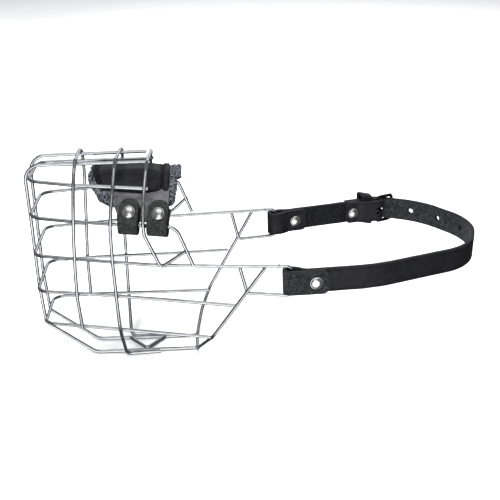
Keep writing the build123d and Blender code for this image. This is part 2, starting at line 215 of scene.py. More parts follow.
CHROME = chrome_wire()
NICKEL = polished("nickel", (0.88, 0.87, 0.85), (0.95, 0.94, 0.92), 0.12)
DARK_STEEL = polished("dark_steel", (0.03, 0.03, 0.033), (0.09, 0.085, 0.085), 0.22)
GRAIN = grain_leather()
FLESH = flesh_leather("flesh_leather", dark=(0.002, 0.002, 0.0025), light=(0.007, 0.0072, 0.008),
                      fleck=(0.034, 0.036, 0.040))
SPECKLED = flesh_leather("speckled_flesh", dark=(0.006, 0.0062, 0.007), light=(0.020, 0.021, 0.024),
                         fleck=(0.095, 0.10, 0.112))
SUEDE = flesh_leather("suede", dark=(0.008, 0.0088, 0.0084), light=(0.024, 0.0255, 0.0238),
                      fleck=(0.075, 0.078, 0.073))
EDGE = cut_edge()
FLEECE = fleece()
THREAD = thread()


# ---- geometry helpers ---------------------------------------------------------------------
def unit(v):
    return v / np.linalg.norm(v)


def rounded(points, radii, step=0.25):
    """Points every step along straight runs joined by tangent arcs."""
    points = [np.array(p, float) for p in points]
    out = [points[0]]
    for i in range(1, len(points) - 1):
        corner = points[i]
        back, ahead = points[i - 1] - corner, points[i + 1] - corner
        room = 0.46 * min(np.linalg.norm(back), np.linalg.norm(ahead))
        back, ahead = unit(back), unit(ahead)
        half = math.acos(np.clip(back @ ahead, -1, 1)) / 2
        cut = min(radii[i - 1] / math.tan(half), room)
        radius = cut * math.tan(half)
        centre = corner + unit(back + ahead) * radius / math.sin(half)
        first = corner + back * cut - centre
        last = corner + ahead * cut - centre
        side = unit(last - first * (last @ first) / radius ** 2)
        turn = math.pi - 2 * half
        count = max(3, int(radius * turn / step))
        for k in range(count + 1):
            a = turn * k / count
            out.append(centre + first * math.cos(a) + side * radius * math.sin(a))
    out.append(points[-1])
    out = np.array(out)
    along = np.r_[0, np.cumsum(np.linalg.norm(np.diff(out, axis=0), axis=1))]
    even = np.linspace(0, along[-1], max(8, int(along[-1] / step)))
    return np.stack([np.interp(even, along, out[:, k]) for k in range(out.shape[1])], 1)


def piece(name, verts, faces, body, materials, indices=None, sharp=42.0):
    """A mesh in the shared frame, verts in millimetres, riding on a body."""
    mesh = bpy.data.meshes.new(name)
    mesh.from_pydata([tuple(float(c) * MM for c in v) for v in verts], [], [tuple(f) for f in faces])
    for material in materials:
        mesh.materials.append(material)
    if indices is not None:
        mesh.polygons.foreach_set("material_index", indices)
    mesh.validate()
    face_out(mesh)
    obj = bpy.data.objects.new(name, mesh)
    bpy.context.scene.collection.objects.link(obj)
    shade(obj, sharp)
    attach(obj, body)
    return obj


def face_out(mesh):
    work = bmesh.new()
    work.from_mesh(mesh)
    bmesh.ops.remove_doubles(work, verts=work.verts, dist=1e-7)
    bmesh.ops.recalc_face_normals(work, faces=work.faces)
    work.to_mesh(mesh)
    work.free()


def shade(obj, sharp):
    obj.data.polygons.foreach_set("use_smooth", [True] * len(obj.data.polygons))
    obj.data.set_sharp_from_angle(angle=math.radians(sharp))


def bake(obj, sharp):
    """Applies an object's modifiers to its mesh and welds away the slivers they leave."""
    done = bpy.data.meshes.new_from_object(obj.evaluated_get(bpy.context.evaluated_depsgraph_get()))
    obj.modifiers.clear()
    obj.data = done
    clean = bmesh.new()
    clean.from_mesh(done)
    bmesh.ops.remove_doubles(clean, verts=clean.verts, dist=2e-6)
    bmesh.ops.dissolve_degenerate(clean, edges=clean.edges, dist=2e-6)
    clean.to_mesh(done)
    clean.free()
    shade(obj, sharp)


def corner_steps(a0, a1, count=3):
    return [math.radians(a0 + (a1 - a0) * k / count) for k in range(count + 1)]


GROOVE_DEPTH = 0.28               # the creased line along each edge of a strap's grain side
FOLD_LEAN = 0.035                 # forward lean of the straps' ends at the ear bars, x over z
FOLD_LEAN_END, FOLD_LEAN_RUN = 36.0, 20.0


def section(half, thick, groove):
    """Closed outline of a strap across its width, and what each of its sides is made of."""
    r = min(0.8, thick * 0.3)
    dips = [1.45, 1.8, 2.15] if groove else [2.0]
    inner = np.linspace(-1, 1, 9)[1:-1] * (half - 2.6)
    across = [-half + r] + [-half + d for d in dips] + list(inner)
    across += [half - d for d in dips[::-1]] + [half - r]
    face = [(a, thick / 2 - (GROOVE_DEPTH if groove and abs(abs(a) - half + dips[1]) < 0.01 else 0))
            for a in across]
    outline, sides = list(face), ["right"] * (len(face) - 1)
    for centre, a0, a1 in (((half - r, thick / 2 - r), 90, 0), ((half - r, -thick / 2 + r), 0, -90)):
        for a in corner_steps(a0, a1)[1 if a0 == 90 else 0:]:
            outline.append((centre[0] + r * math.cos(a), centre[1] + r * math.sin(a)))
            sides.append("edge")
    back = [(a, -thick / 2) for a in (-inner)]
    outline += back + [(-half + r, -thick / 2)]
    sides += ["left"] * (len(back) + 1)
    for centre, a0, a1 in (((-half + r, -thick / 2 + r), -90, -180), ((-half + r, thick / 2 - r), 180, 90)):
        steps = corner_steps(a0, a1)
        for a in steps[1:] if a0 == -90 else steps[:-1]:
            outline.append((centre[0] + r * math.cos(a), centre[1] + r * math.sin(a)))
            sides.append("edge")
    sides.append("edge")
    return np.array(outline), sides


def end_taper(d, kind, size):
    """How much narrower each side of a strap is at distance d from its end."""
    if kind == "square" or d >= size:
        return 0.0
    return size - d if kind == "cut" else size - math.sqrt(size ** 2 - (size - d) ** 2)


def strap(name, line, across, width, thick, ends, body, right, left, groove="right", seed=0.0,
          hang=0.0):
    """A leather strip along a line; right and left are the materials of its two sides.

    ends gives each end's shape and size; hang says how much of the ear folds' lean it takes.
    """
    along = np.r_[0, np.cumsum(np.linalg.norm(np.diff(line, axis=0), axis=1))]
    near = [0, 0.25, 0.6, 1.1, 1.7, 2.4, 3.2, 4.1, 5.0]
    spots = np.concatenate([np.arange(0, along[-1], 1.1), near, along[-1] - np.array(near)])
    spots = np.unique(spots.round(3))
    spots = spots[(spots >= 0) & (spots <= along[-1])]
    tangent = np.gradient(line, along, axis=0)
    across = unit(np.array(across, float))
    verts, faces, marks = [], [], []
    outline0, sides = section(width / 2, thick, bool(groove))
    n = len(outline0)
    for s in spots:
        c = np.array([np.interp(s, along, line[:, k]) for k in range(3)])
        t = unit(np.array([np.interp(s, along, tangent[:, k]) for k in range(3)]))
        right_dir = np.cross(t, across)
        d0, d1 = s, along[-1] - s
        taper = end_taper(d0, *ends[0]) + end_taper(d1, *ends[1])
        pinch = 1 - 0.22 * (max(0, 1 - min(d0, d1) / 0.6)) ** 2
        wave = 0.12 * noise.noise(Vector((s * 0.09, seed, 0.0)))
        outline, _ = section(width / 2 - taper + wave, thick * pinch, bool(groove))
        flip = -1 if groove == "left" else 1
        for a, b in outline:
            ripple = 0.10 * noise.noise(Vector((s * 0.11, a * 0.10, seed + 3.0)))
            p = c + across * a * flip + right_dir * (b * flip + ripple)
            lean = FOLD_LEAN * p[2] * hang * smooth_step((FOLD_LEAN_END - p[0]) / FOLD_LEAN_RUN)
            verts.append(p - np.array([lean, 0, 0]))
    m = len(spots)
    number = {"right": 0, "left": 1, "edge": 2}
    for i in range(m - 1):
        for k in range(n):
            a, b = i * n + k, i * n + (k + 1) % n
            faces.append((a, b, b + n, a + n))
            marks.append(number[sides[k]])
    faces += [tuple(range(n))[::-1], tuple(range((m - 1) * n, m * n))]
    marks += [2, 2]
    pair = [left, right] if groove == "left" else [right, left]
    return piece(name, verts, faces, body, [*pair, EDGE], marks, 38.0)


def cut(obj, verts, count):
    """Cuts a prism, given by its two outlines of count points, through a strap."""
    faces = [tuple(range(count))[::-1], tuple(range(count, 2 * count))]
    faces += [(k, (k + 1) % count, count + (k + 1) % count, count + k) for k in range(count)]
    mesh = bpy.data.meshes.new("cutter")
    mesh.from_pydata([tuple(np.array(v) * MM) for v in verts], [], faces)
    face_out(mesh)
    for material in obj.data.materials:
        mesh.materials.append(material)
    mesh.polygons.foreach_set("material_index", [2] * len(faces))
    cutter = bpy.data.objects.new("cutter", mesh)
    bpy.context.scene.collection.objects.link(cutter)
    cutting = obj.modifiers.new("cut", "BOOLEAN")
    cutting.operation, cutting.solver, cutting.object = "DIFFERENCE", "EXACT", cutter
    bpy.context.view_layer.update()
    bake(obj, 38.0)
    bpy.data.objects.remove(cutter)


def cut_round(obj, place, direction, radius):
    z = unit(np.array(direction, float))
    x = unit(np.cross(UP, z))
    y = np.cross(z, x)
    count = 28
    ring = [(math.cos(math.tau * k / count), math.sin(math.tau * k / count)) for k in range(count)]
    cut(obj, [place + z * end + (x * c + y * s) * radius for end in (-3.0, 3.0) for c, s in ring], count)


def cut_slot(obj, corners, half):
    """A slot through an upright strap, its corners given in plan."""
    cut(obj, [corner + UP * z for z in (-half, half) for corner in corners], len(corners))


def turned(name, profile, origin, out, body, material):
    """A rivet head: (radius, height) profile turned about an axis."""
    z = unit(np.array(out, float))
    x = unit(np.cross(z, (0.3, 0.1, 1.0)))
    y = np.cross(z, x)
    count, verts, faces = 40, [np.array(origin) + z * profile[0][1]], []
    for r, h in profile[1:]:
        for k in range(count):
            a = math.tau * k / count
            verts.append(np.array(origin) + z * h + (x * math.cos(a) + y * math.sin(a)) * r)
    faces += [(0, 1 + k, 1 + (k + 1) % count) for k in range(count)]
    for i in range(len(profile) - 2):
        for k in range(count):
            a, b = 1 + i * count + k, 1 + i * count + (k + 1) % count
            faces.append((a, a + count, b + count, b))
    last = 1 + (len(profile) - 2) * count
    faces.append(tuple(last + k for k in range(count))[::-1])
    return piece(name, verts, faces, body, [material], None, 50.0)


def rivet_profile(radius, dome, rim=0.55):
    """Domed cap with a rolled rim that sits on the leather."""
    points = [(0, dome)]
    for k in range(1, 9):
        a = math.pi / 2 * k / 8
        points.append((radius * 0.93 * math.sin(a), rim + (dome - rim) * math.cos(a)))
    return points + [(radius * 0.985, rim * 0.9), (radius, rim * 0.5), (radius * 0.97, rim * 0.1),
                     (radius * 0.9, 0.0)]


# ---- wires and buckle, carried over from the CAD ------------------------------------------
WIRE_NAMES = ("ring_", "hoop_", "profile_", "chin_", "ear_", "bottom_")
wires = {name: node for name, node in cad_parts.items() if name.startswith(WIRE_NAMES)}


def recoat(node, material):
    node.data.materials.clear()
    node.data.materials.append(material)
    shade(node, 60.0)


for node in wires.values():
    recoat(node, CHROME)
for name in ("buckle_frame", "buckle_tongue"):
    recoat(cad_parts[name], DARK_STEEL)


# ---- neck strap ---------------------------------------------------------------------------
STRAP, PLY, WIDTH = 3.1, 3.35, 19.0          # thickness, spacing of two layers, width
EAR_Y = 57.0                                 # the ear bars' distance from the middle
FOLD_FRONT, FOLD_HALF, CLOSED = 4.8, 4.1, 11.0
LEFT_START, LEFT_SPLAY = -58.4, 5.0          # where each strap leaves its bar, degrees outwards
RIGHT_START, RIGHT_SPLAY = 59.5, 15.0
HEEL, KEEPER = 96.5, (80.5, 92.3)            # along the right strap: heel bar, keeper's two edges
EAR_RIVET, CHAPE_RIVET = 17.5, 72.5
CAP_R, BACK_R = 4.7, 4.2
NECK = [(63.66, -52.83, 0), (144.5, -23.1, 0), (162.5, 26.7, 0), (130.9, 73.2, 0)]
NECK_BENDS = [117, 46.7, 63.6, 64.3]
HOLE_R, HOLES = 2.2, (13.5, 67.0, 94.0, 121.0, 148.0)    # distances from the tail's end
BUCKLE_TURN = 25.0
TONGUE_LOW, TONGUE_ROOM, TONGUE_DROP, TONGUE_RISE = 1.4, 19.2, 2.0, (3.6, 7.6)
TONGUE_HALF, CHAPE_SLOT = 2.3, 3.3
UP = np.array([0.0, 0.0, 1.0])


def left_run(s, n=0.0):
    """Point s along the left strap's straight start, n outwards from it."""
    a = math.radians(LEFT_SPLAY)
    return np.array([s * math.cos(a) + n * math.sin(a),
                     LEFT_START + s * math.sin(a) - n * math.cos(a), 0.0])


def right_run(s, n=0.0):
    """Point s along the right strap, n outwards from it."""
    a = math.radians(RIGHT_SPLAY)
    return np.array([s * math.cos(a) - n * math.sin(a),
                     RIGHT_START + s * math.sin(a) + n * math.cos(a), 0.0])


RIGHT_OUT = right_run(0, 1) - right_run(0)
LEFT_OUT = left_run(0, 1) - left_run(0)

long_line = rounded(
    [left_run(28, PLY), left_run(CLOSED, PLY), (-FOLD_FRONT, -EAR_Y - FOLD_HALF, 0),
     (-FOLD_FRONT, -EAR_Y + FOLD_HALF, 0), (3.0, -EAR_Y + FOLD_HALF, 0), left_run(CLOSED),
     *NECK, right_run(99, PLY), right_run(63, PLY)],
    [20, 4, 4, 7, 7, *NECK_BENDS, 12])
long_strap = strap("long_strap_leather", long_line, UP, WIDTH, STRAP, (("cut", 3.6), ("cut", 5.0)),
                   "neck_strap", GRAIN, SPECKLED, "right", 1.0, 1.0)
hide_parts("long_strap")

bar_s = (EAR_Y - RIGHT_START) * math.sin(math.radians(RIGHT_SPLAY))
bar_n = (EAR_Y - RIGHT_START) * math.cos(math.radians(RIGHT_SPLAY))
short_line = rounded(
    [right_run(28, -PLY), right_run(CLOSED, -PLY), right_run(4, bar_n - FOLD_HALF),
     right_run(bar_s - FOLD_FRONT, bar_n - FOLD_HALF), right_run(bar_s - FOLD_FRONT, bar_n + FOLD_HALF),
     right_run(4, bar_n + FOLD_HALF), right_run(CLOSED, 0), right_run(HEEL + PLY, 0),
     right_run(HEEL + PLY, -2 * PLY), right_run(HEEL - 3, -2 * PLY), right_run(KEEPER[0] + 0.3, -5.2),
     right_run(KEEPER[0] - 3.1, -PLY), right_run(65.5, -PLY)],
    [7, 7, 4, 4, 7, 7, 3.3, 3.3, 12, 4, 4])
short_strap = strap("short_strap_leather", short_line, UP, WIDTH, STRAP, (("round", 5.0), ("cut", 3.2)),
                    "neck_strap", FLESH, GRAIN, "left", 5.0, 1.0)
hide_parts("short_strap")

along = np.r_[0, np.cumsum(np.linalg.norm(np.diff(long_line, axis=0), axis=1))]
for from_tail in HOLES:
    place, ahead = (np.array([np.interp(along[-1] - from_tail + d, along, long_line[:, k])
                              for k in range(3)]) for d in (0.0, 0.5))
    cut_round(long_strap, place, np.cross(ahead - place, UP), HOLE_R)
turn = math.radians(BUCKLE_TURN)
TONGUE_UP = np.array([-math.sin(turn), math.cos(turn), 0.0])
TONGUE_AHEAD = np.array([math.cos(turn), math.sin(turn), 0.0])
fold = right_run(HEEL, -PLY)
start = fold + TONGUE_UP * TONGUE_LOW
tip = start + TONGUE_AHEAD * TONGUE_ROOM
cut_slot(long_strap, [start, tip - TONGUE_UP * TONGUE_DROP, tip + TONGUE_UP * TONGUE_RISE[1],
                      start + TONGUE_UP * TONGUE_RISE[0]], TONGUE_HALF)
ahead = unit(right_run(1) - right_run(0))
cut_slot(short_strap, [fold + ahead * a + RIGHT_OUT * b
                       for a, b in ((-2.5, -7), (9, -7), (9, 7), (-2.5, 7))], CHAPE_SLOT)


def keeper():
    """The keeper: a thin slanting band, its two ends butted on the inner side."""
    wall, room_above, room_below = 1.8, 2.6, 1.3
    inner, outer = -STRAP / 2 - 0.15 - wall / 2, PLY + STRAP / 2 + 0.1 + wall / 2
    top, low = WIDTH / 2 + wall / 2 + room_above, -WIDTH / 2 - wall / 2 - room_below
    corners = [(inner, 1.0), (inner, top - 0.6), (outer + 0.8, top + 0.6), (outer, low),
               (inner, low), (inner, -1.0)]
    middle = right_run((KEEPER[0] + KEEPER[1]) / 2)
    points = [middle + RIGHT_OUT * n + UP * z for n, z in corners]
    line = rounded(points, [1.6, 2.2, 2.2, 1.6])
    tilt = math.radians(15.0)
    along_run = unit(right_run(1) - right_run(0)) * math.cos(tilt) - UP * math.sin(tilt)
    band = strap("keeper_leather", line, along_run, KEEPER[1] - KEEPER[0], wall,
                 (("square", 0), ("square", 0)), "neck_strap", FLESH, GRAIN, "left", 9.0)
    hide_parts("keeper_loop")


keeper()


def strap_rivet(name, node, place, out, back=None):
    cap = turned(name, rivet_profile(CAP_R, 2.2), place, out, "neck_strap", NICKEL)
    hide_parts(node)
    if back is not None:
        turned(name + "_back", rivet_profile(BACK_R, 1.5, 0.4), back, -np.array(out),
               "neck_strap", NICKEL)


strap_rivet("rivet_cap_left", "strap_rivet_left", left_run(EAR_RIVET, PLY + STRAP / 2), LEFT_OUT,
            back=left_run(EAR_RIVET, -STRAP / 2))
strap_rivet("rivet_cap_right", "strap_rivet_right", right_run(EAR_RIVET, -PLY - STRAP / 2), -RIGHT_OUT,
            back=right_run(EAR_RIVET, STRAP / 2))
strap_rivet("rivet_cap_chape", "chape_rivet", right_run(CHAPE_RIVET, -PLY - STRAP / 2), -RIGHT_OUT)


# ---- padded bridge ------------------------------------------------------------------------
half_arch = rounded([(-11.7, 152.1), (11.7, 152.1), (23.0, 138.6), (37.0, 129.0), (51.6, 119.0)],
                    [13, 9, 9], 0.2)
half_arch = half_arch[int(np.argmin(np.abs(half_arch[:, 0]))):]
half_arch[:, 1] += BASE
arch_along = np.r_[0, np.cumsum(np.linalg.norm(np.diff(half_arch, axis=0), axis=1))]
arch_ahead = np.gradient(half_arch, arch_along, axis=0)
CROWN_FALL, PAD_MIDDLE = 0.012, -115.0       # the crown drops slightly towards the rear
PANEL_X0, PANEL_LENGTH = -144.0, 59.4        # the leather panel along its middle


def arch(v, h=0.0):
    """(y, z) at distance v from the middle of the pad's outer line, h inside it."""
    s, side = abs(v), (1 if v >= 0 else -1)
    y, z = (np.interp(s, arch_along, half_arch[:, k]) for k in (0, 1))
    ty, tz = (np.interp(s, arch_along, arch_ahead[:, k]) for k in (0, 1))
    size = math.hypot(ty, tz)
    return np.array([side * (y + h * tz / size), z - h * ty / size])


def on_arch(x, v, h=0.0):
    y, z = arch(v, h)
    return np.array([x, y, z - CROWN_FALL * (x - PAD_MIDDLE)])


def ring_2(x):
    return float(np.interp(x, [-159.5, -129.5, -102.0, -82.0], [34.2, 41.6, 47.4, 52.6]))


def shell(name, top, bottom, nx, nv, body, materials, sharp=50.0):
    """A closed sheet from two functions of (i, j) in 0..1 giving its outer and inner points."""
    verts = [surface(i / nx, j / nv)
             for surface in (top, bottom) for i in range(nx + 1) for j in range(nv + 1)]
    size = (nx + 1) * (nv + 1)

    def at(i, j, layer=0):
        return layer * size + i * (nv + 1) + j

    faces, index = [], []
    for i in range(nx):
        for j in range(nv):
            faces.append((at(i, j), at(i + 1, j), at(i + 1, j + 1), at(i, j + 1)))
            faces.append((at(i, j, 1), at(i, j + 1, 1), at(i + 1, j + 1, 1), at(i + 1, j, 1)))
            index += [0, 1 if len(materials) > 1 else 0]
    rim = [(at(i + 1, 0), at(i, 0), at(i, 0, 1), at(i + 1, 0, 1)) for i in range(nx)]
    rim += [(at(i, nv), at(i + 1, nv), at(i + 1, nv, 1), at(i, nv, 1)) for i in range(nx)]
    rim += [(at(0, j), at(0, j + 1), at(0, j + 1, 1), at(0, j, 1)) for j in range(nv)]
    rim += [(at(nx, j + 1), at(nx, j), at(nx, j, 1), at(nx, j + 1, 1)) for j in range(nv)]
    faces += rim
    index += [2 if len(materials) > 2 else 0] * len(rim)
    return piece(name, verts, faces, body, materials, index, sharp)


def curve(v, at, values):
    return float(np.interp(abs(v), at, values))


def panel_front(v):
    return curve(v, [0, 6, 13.3, 19.8, 25.3, 31.1], [-144.0, -143.2, -141.7, -139.1, -135.5, -130.6])


def panel_rear(v):
    return curve(v, [0, 14.9, 22.7, 30.7, 35], [-84.6, -85.4, -86.0, -86.8, -87.2])


def front_seam(v):
    return curve(v, [0, 10.4, 15.9, 20.6, 28], [-140.3, -138.8, -137.4, -135.5, -131.2])


def rear_seam(v):
    return curve(v, [0, 12, 18.7, 24.1, 30], [-91.0, -91.2, -91.5, -91.8, -92.1])


def panel_low(x):
    """Distance from the middle to the leather panel's lower edge."""
    return float(np.interp(x, [-138, -130.5, -122, -114.7, -106, -100.3, -94.5, -86],
                           [24.5, 26.2, 27.0, 28.0, 29.2, 28.4, 27.8, 27.8]))


def panel_height(x, v):
    """How far the padded panel's face lies inside the arch line."""
    end = min(x - panel_front(v), panel_rear(v) - x)
    gap = min(abs(x - front_seam(v)), abs(x - rear_seam(v)))
    inside = front_seam(v) < x < rear_seam(v)
    low = panel_low(x) - abs(v)
    h = 0.9 - 0.9 * smooth_step(gap / 9.0) if inside else 0.9 - 0.5 * smooth_step(gap / 2.0)
    h += 1.3 * math.exp(-(gap / 0.8) ** 2)
    h += 1.9 * (1 - smooth_step(end / 1.8))
    if inside:
        h -= 1.3 * smooth_step((9.0 - low) / 6.0) * smooth_step(gap / 5.0)
        h += 3.0 * (1 - smooth_step(low / 2.0))
    else:
        h += 1.2 * (1 - smooth_step(low / 1.2))
    pucker = math.exp(-(gap / 2.6) ** 2) * math.sin(v * 2.05 + 1.3 * math.sin(v * 0.31))
    h += (0.34 if inside else 0.42) * pucker
    h += 0.30 * noise.noise(Vector((x * 0.07, v * 0.06, 1.0)))
    h += 0.07 * noise.noise(Vector((x * 0.4, v * 0.4, 4.0)))
    return h


def panel_spot(i, j, depth):
    x = PANEL_X0 + PANEL_LENGTH * i
    v = (2 * j - 1) * panel_low(x)
    front, rear = panel_front(v), panel_rear(v)
    x = front + (rear - front) * i
    v = (2 * j - 1) * panel_low(x)
    if not depth:
        return on_arch(x, v, panel_height(x, v))
    x = front + 0.5 + (rear - front - 1.0) * i
    return on_arch(x, v * 0.985, max(panel_height(x, v) + 1.3, 2.6))


panel = shell("pad_panel", lambda i, j: panel_spot(i, j, 0), lambda i, j: panel_spot(i, j, 1), 130, 130,
              "basket", [GRAIN, FLESH, EDGE])
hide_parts("pad_cover")


def skirt_leather():
    m = Nodes("skirt_leather")
    m.set(Base_Color=m.ramp(m.noise(200, 4), [(0.3, (0.050, 0.050, 0.056)), (0.7, (0.095, 0.094, 0.104))]),
          Roughness=m.span(m.noise(700, 3), 0.42, 0.62), Specular_IOR_Level=0.45)
    m.bump(m.sum(m.noise(320, 4), m.cells(1300, "SMOOTH_F1"), 0.3), 0.0002, 0.5)
    return m.material


SKIRT = skirt_leather()


def skirt(side):
    """Thin leather below the panel, flaring out to the cheek ring, with the tabs hung from it."""
    def spot(i, j, depth):
        if side > 0:
            j = 1 - j
        top_x = -131.5 + 45.0 * i
        low_x = -124.2 + 37.0 * i
        x = top_x + (low_x - top_x) * min(1.0, j * 1.25)
        top = arch(25.0, 2.0)
        knee = (ring_2(x) - 7.5, 128.0 + BASE)
        foot = (ring_2(x) - 5.3, 124.4 + BASE)
        line = [(top[0], top[1]), knee, foot]
        y = np.interp(j, [0, 0.84, 1], [p[0] for p in line])
        z = np.interp(j, [0, 0.84, 1], [p[1] for p in line])
        lift = 0.9 * math.sin(math.pi * j) + 0.5 * noise.noise(Vector((x * 0.09, j * 1.5, 7.0 + side)))
        return np.array([x, side * (y + lift * 0.56 - depth * 0.6), z + lift * 0.8 - depth * 0.8])

    name = "left" if side < 0 else "right"
    obj = shell(f"pad_skirt_leather_{name}", lambda i, j: spot(i, j, 0.0), lambda i, j: spot(i, j, 1.6),
                44, 30, "basket", [SKIRT, SUEDE, EDGE])
    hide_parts(f"pad_skirt_{name}")


skirt(-1)
skirt(1)


def felt_front(v):
    return curve(v, [0, 7.1, 14.1, 20.4, 24.3, 31.8, 36],
                 [-144.8, -146.1, -146.4, -144.9, -142.6, -137.5, -131.0])


def felt_rear(v):
    return curve(v, [0, 7, 16, 22.1, 28.3, 34.9, 38], [-80.2, -79.8, -79.7, -79.9, -81.1, -82.4, -85.5])


def felt():
    """The napped lining: a thick slab under the leather that swells out past it at both ends."""
    edge = 36.4

    def spot(i, j, depth):
        v = (2 * j - 1) * edge
        front, rear = felt_front(v), felt_rear(v)
        x = front + 0.7 + (rear - front - 1.4) * i
        end, low = min(i, 1 - i) * (rear - front), edge - abs(v)
        cut = 2.2 * (1 - smooth_step(end / 2.2)) + 2.0 * (1 - smooth_step(low / 2.6))
        if depth:
            return on_arch(x, v, 7.2 - cut * 0.7)
        swell = 1.5 * (1 - smooth_step(end / 7.0))
        return on_arch(x, v, 2.4 - swell + cut)

    obj = shell("pad_lining", lambda i, j: spot(i, j, 0), lambda i, j: spot(i, j, 1), 120, 130,
                "basket", [FLEECE], 80.0)
    mesh = obj.data
    mesh.calc_loop_triangles()
    moved = []
    for vertex in mesh.vertices:
        p = vertex.co * 1000
        clump = noise.voronoi(p * 0.42)[0]
        size = 0.75 * (0.55 - clump[0]) + 0.35 * noise.noise(p * 0.9)
        moved.append(vertex.co + vertex.normal * size * MM)
    for vertex, place in zip(mesh.vertices, moved):
        vertex.co = place
    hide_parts("pad_felt")


def rolled_end():
    """The lining's rear edge curls over on itself along the crown."""
    verts, faces = [], []
    turns, count = 1.35, 34
    spans = np.linspace(-14.5, 13.5, 40)
    for v in spans:
        ring = []
        for layer in (0.75, -0.75):
            order = range(count + 1) if layer > 0 else range(count, -1, -1)
            for k in order:
                a = math.tau * turns * k / count
                r = 1.9 - 0.5 * a / math.tau + layer * 0.8
                ring.append((-79.6 + r * math.sin(a), 3.4 - r * math.cos(a)))
        for dx, dh in ring:
            p = on_arch(dx, v, dh)
            q = Vector((p[0], p[1], p[2])) * 0.55
            shifts = (Vector((0, 0, 0)), Vector((9, 0, 0)), Vector((0, 9, 0)))
            verts.append(p + np.array([noise.noise(q + shift) for shift in shifts]) * 0.45)
    n = 2 * (count + 1)
    for i in range(len(spans) - 1):
        for k in range(n):
            a, b = i * n + k, i * n + (k + 1) % n
            faces.append((a, b, b + n, a + n))
    for start, flip in ((0, True), ((len(spans) - 1) * n, False)):
        for k in range(count):
            quad = (start + k, start + k + 1, start + n - 2 - k, start + n - 1 - k)
            faces.append(quad[::-1] if flip else quad)
    return piece("pad_rolled_end", verts, faces, "basket", [FLEECE], None, 70.0)


felt()
rolled_end()


def stitches(name, spots, body):
    """Lockstitches: short thread capsules along lines given as (start, end, outward) triples."""
    verts, faces = [], []
    around, rings = 8, 7
    for start, end, out in spots:
        start, end = np.array(start), np.array(end)
        along_stitch, out = unit(end - start), unit(np.array(out))
        side = np.cross(along_stitch, out)
        base = len(verts)
        for i in range(rings):
            t = i / (rings - 1)
            swell = 0.5 * (0.45 + 0.55 * math.sin(math.pi * t))
            middle = start + (end - start) * t + out * (0.25 * math.sin(math.pi * t) - 0.12)
            for k in range(around):
                a = math.tau * k / around
                verts.append(middle + (out * math.cos(a) + side * math.sin(a)) * swell)
        for i in range(rings - 1):
            for k in range(around):
                a, b = base + i * around + k, base + i * around + (k + 1) % around
                faces.append((a, b, b + around, a + around))
        faces.append(tuple(base + k for k in range(around))[::-1])
        faces.append(tuple(base + (rings - 1) * around + k for k in range(around)))
    return piece(name, verts, faces, body, [THREAD], None, 60.0)


def pad_stitches():
    spots = []
    for seam in (front_seam, rear_seam):
        for v in np.arange(-24.0, 24.1, 3.1):
            a, b = v - 1.1, v + 1.1
            pair = [on_arch(seam(t), t, panel_height(seam(t), t) - 0.25) for t in (a, b)]
            out = on_arch(seam(v), v, 0) - on_arch(seam(v), v, 1)
            spots.append((*pair, out))
    for side in (-1, 1):
        for x in np.arange(-99.6, -91.0, 3.6):
            v = side * (panel_low(x) + 1.2)
            pair = [on_arch(x + d, v, 1.2) for d in (-1.3, 1.3)]
            spots.append((*pair, on_arch(x, v, 0) - on_arch(x, v, 1)))
    return stitches("pad_seam_thread", spots, "basket")


pad_stitches()


TAB_THICK, TAB_RIVET, TAB_FACE = 2.4, 131.2, 1.25     # rivet's height, its seat off the tab's middle
TAB_BEND, TAB_END = (2.9, 124.5), (-9.2, 139.3)       # (outwards, height) where the outer leaf bends, ends


def tab(place, x, turned_by, width, side):
    """A tab of the skirt's leather, folded round the cheek ring and riveted to itself."""
    turn = math.radians(turned_by)
    outwards = np.array([-math.sin(turn), side * math.cos(turn), 0.0])
    along_ring = np.array([math.cos(turn), side * math.sin(turn), 0.0])
    origin = np.array([x, side * ring_2(x), BASE])
    flat = rounded([(-8.9, 133.2), (-2.9, 124.0), (-2.9, 116.9), (2.9, 116.9), TAB_BEND, TAB_END],
                   [9, 2.8, 2.8, 9])
    line = np.array([origin + outwards * a + UP * b for a, b in flat])
    name = f"{place}_{'left' if side < 0 else 'right'}"
    obj = strap(f"pad_tab_leather_{name}", line, along_ring * side, width, TAB_THICK,
                (("square", 0), ("round", 6.2)), "basket", SUEDE, GRAIN, "",
                11.0 + x * 0.1 + side)
    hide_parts(f"pad_tab_{name}")
    lean = unit(np.array(TAB_END) - np.array(TAB_BEND))
    a, b = (np.array(TAB_BEND) + lean * (TAB_RIVET - TAB_BEND[1]) / lean[1]
            + np.array([lean[1], -lean[0]]) * TAB_FACE)
    out = outwards * lean[1] - UP * lean[0]
    cap = turned(f"pad_rivet_cap_{name}", rivet_profile(CAP_R, 2.3), origin + outwards * a + UP * b, out,
                 "basket", NICKEL)
    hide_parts(f"pad_rivet_{name}")


for side in (-1, 1):
    tab("front", -115.5, 12.0, 14.5, side)
    tab("rear", -94.7, 14.4, 15.0, side)


